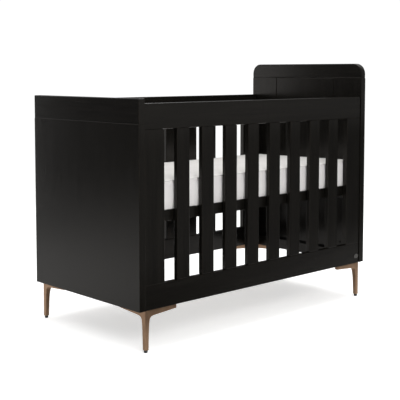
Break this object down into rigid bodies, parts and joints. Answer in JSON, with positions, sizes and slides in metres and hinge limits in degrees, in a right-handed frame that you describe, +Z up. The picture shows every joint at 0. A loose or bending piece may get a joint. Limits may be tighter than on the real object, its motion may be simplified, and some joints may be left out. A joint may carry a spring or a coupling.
{
  "type": "baby crib",
  "caption": "Dark wooden baby crib with solid board ends, a taller headboard, slatted sides, a height-adjustable slatted base, a pale mattress and slender bronze metal corner legs.",
  "frame": {"origin": "on the floor, under the middle of the crib's length and depth", "axes": "+X along the length towards the tall headboard, +Y from the front side to the rear side, +Z up"},
  "size_m": [1.278, 0.654, 1.028],
  "materials": {
    "ebony_wood": "satin",
    "birch_slats": "matte",
    "bronze_legs": "satin",
    "badge_metal": "satin",
    "black_steel": "satin",
    "black_plastic": "matte",
    "mattress_ticking": "matte"
  },
  "bodies": {
    "crib": {"footboard_panel": "ebony_wood", "footboard_top_rail": "ebony_wood", "headboard_panel": "ebony_wood", "headboard_stile_front": "ebony_wood", "headboard_stile_rear": "ebony_wood", "headboard_top_rail": "ebony_wood", "end_batten_left": "ebony_wood", "end_batten_right": "ebony_wood", "front_top_rail": "ebony_wood", "front_bottom_rail": "ebony_wood", "front_stile_left": "ebony_wood", "front_stile_right": "ebony_wood", "front_slat_1": "ebony_wood", "front_slat_2": "ebony_wood", "front_slat_3": "ebony_wood", "front_slat_4": "ebony_wood", "front_slat_5": "ebony_wood", "front_slat_6": "ebony_wood", "front_slat_7": "ebony_wood", "front_slat_8": "ebony_wood", "rear_top_rail": "ebony_wood", "rear_bottom_rail": "ebony_wood", "rear_stile_left": "ebony_wood", "rear_stile_right": "ebony_wood", "rear_slat_1": "ebony_wood", "rear_slat_2": "ebony_wood", "rear_slat_3": "ebony_wood", "rear_slat_4": "ebony_wood", "rear_slat_5": "ebony_wood", "rear_slat_6": "ebony_wood", "rear_slat_7": "ebony_wood", "rear_slat_8": "ebony_wood", "leg_front_left": "bronze_legs", "leg_rear_left": "bronze_legs", "leg_front_right": "bronze_legs", "leg_rear_right": "bronze_legs", "foot_cap_front_left": "black_plastic", "foot_cap_rear_left": "black_plastic", "foot_cap_front_right": "black_plastic", "foot_cap_rear_right": "black_plastic", "badge": "badge_metal"},
    "base": {"base_end_rail_left": "ebony_wood", "base_end_rail_right": "ebony_wood", "base_rail_front": "ebony_wood", "base_rail_rear": "ebony_wood", "base_slat_1": "birch_slats", "base_slat_2": "birch_slats", "base_slat_3": "birch_slats", "base_slat_4": "birch_slats", "base_slat_5": "birch_slats", "base_slat_6": "birch_slats", "base_slat_7": "birch_slats", "base_slat_8": "birch_slats", "base_angle_left": "black_steel", "base_angle_right": "black_steel", "base_bolt_front_left": "black_steel", "base_bolt_rear_left": "black_steel", "base_bolt_front_right": "black_steel", "base_bolt_rear_right": "black_steel"},
    "mattress": {"mattress": "mattress_ticking"}
  },
  "joints": [
    {"name": "base_height", "type": "slide", "parent": "crib", "child": "base", "axis": [0, 0, 1], "range_m": [-0.212, 0]},
    {"name": "mattress_lift", "type": "slide", "parent": "base", "child": "mattress", "axis": [0, 0, 1], "range_m": [0, 0.4]}
  ]
}
